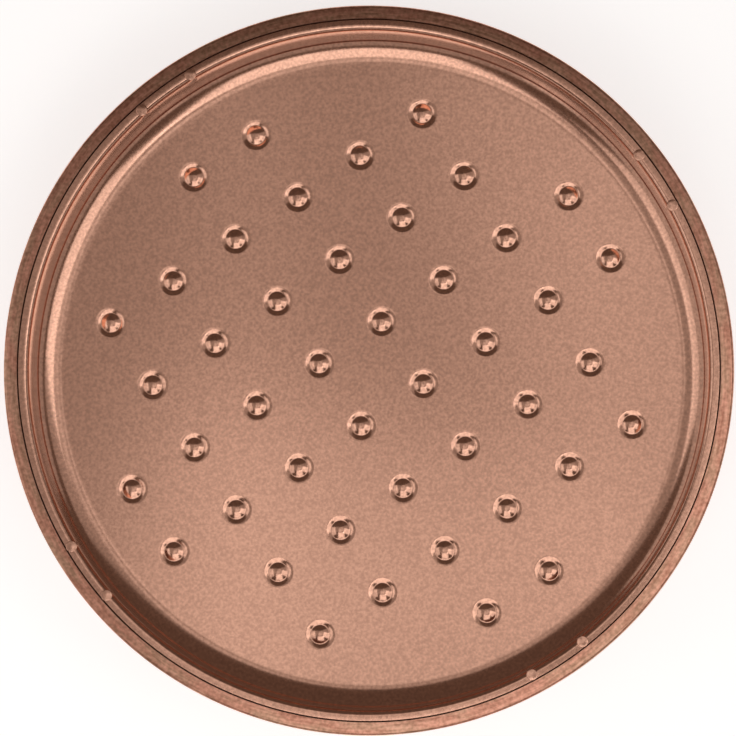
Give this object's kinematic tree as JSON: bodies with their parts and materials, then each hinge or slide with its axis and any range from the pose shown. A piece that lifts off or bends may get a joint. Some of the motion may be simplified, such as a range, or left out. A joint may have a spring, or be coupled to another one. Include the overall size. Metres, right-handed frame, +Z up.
{
  "type": "baking pan",
  "caption": "Round double-wall baking pan with a dimpled floor, a folded flat rim with an open seam, and paired pips on the inner shoulder.",
  "frame": {"origin": "centre of the flat underside of the outer shell", "axes": "+Z up, out of the pan's mouth along its axis; +X towards the right of the picture seen from above, +Y towards its top"},
  "size_m": [0.2458, 0.2458, 0.0417],
  "materials": {
    "inner_coating": "satin rose-copper non-stick coating on pressed steel sheet",
    "outer_coating": "satin rose-copper coating, slightly coarser, on pressed steel sheet"
  },
  "bodies": {
    "root": {"inner_pan": "inner_coating", "outer_shell": "outer_coating"}
  },
  "joints": []
}
